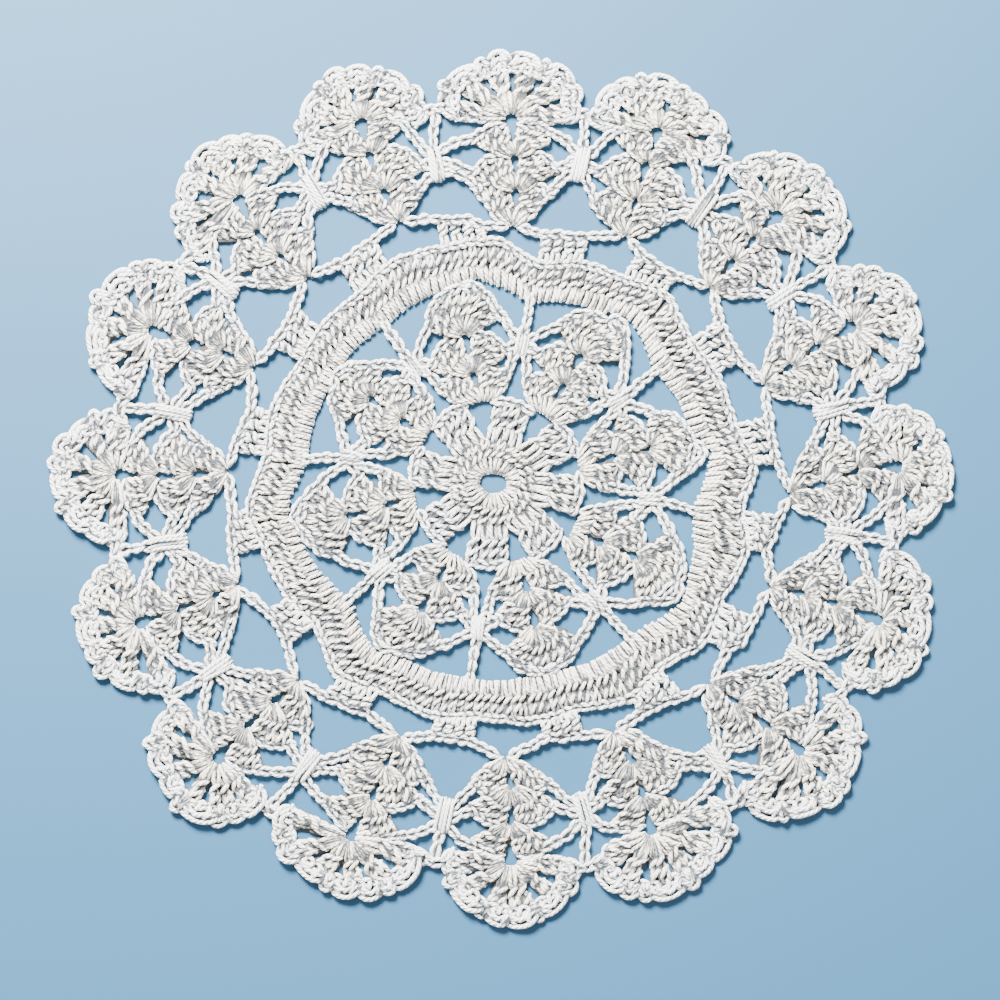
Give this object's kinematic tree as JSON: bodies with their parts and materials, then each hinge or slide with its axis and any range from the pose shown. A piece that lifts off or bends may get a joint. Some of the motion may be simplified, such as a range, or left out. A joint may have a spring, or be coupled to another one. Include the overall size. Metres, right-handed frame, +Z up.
{
  "type": "lace doily",
  "caption": "Round crochet lace doily in white cotton: a flower inside a solid band, and a border of fans with a scalloped edge, lying flat.",
  "frame": {"origin": "middle of the doily's bounding box, on the underside that lies on the table", "axes": "+Z up out of the lace's right side, +Y away from the viewer, +X to the right"},
  "size_m": [0.1996, 0.1932, 0.002],
  "materials": {
    "white_cotton": "matte twisted cotton thread"
  },
  "bodies": {
    "root": {"doily": "white_cotton"}
  },
  "joints": []
}
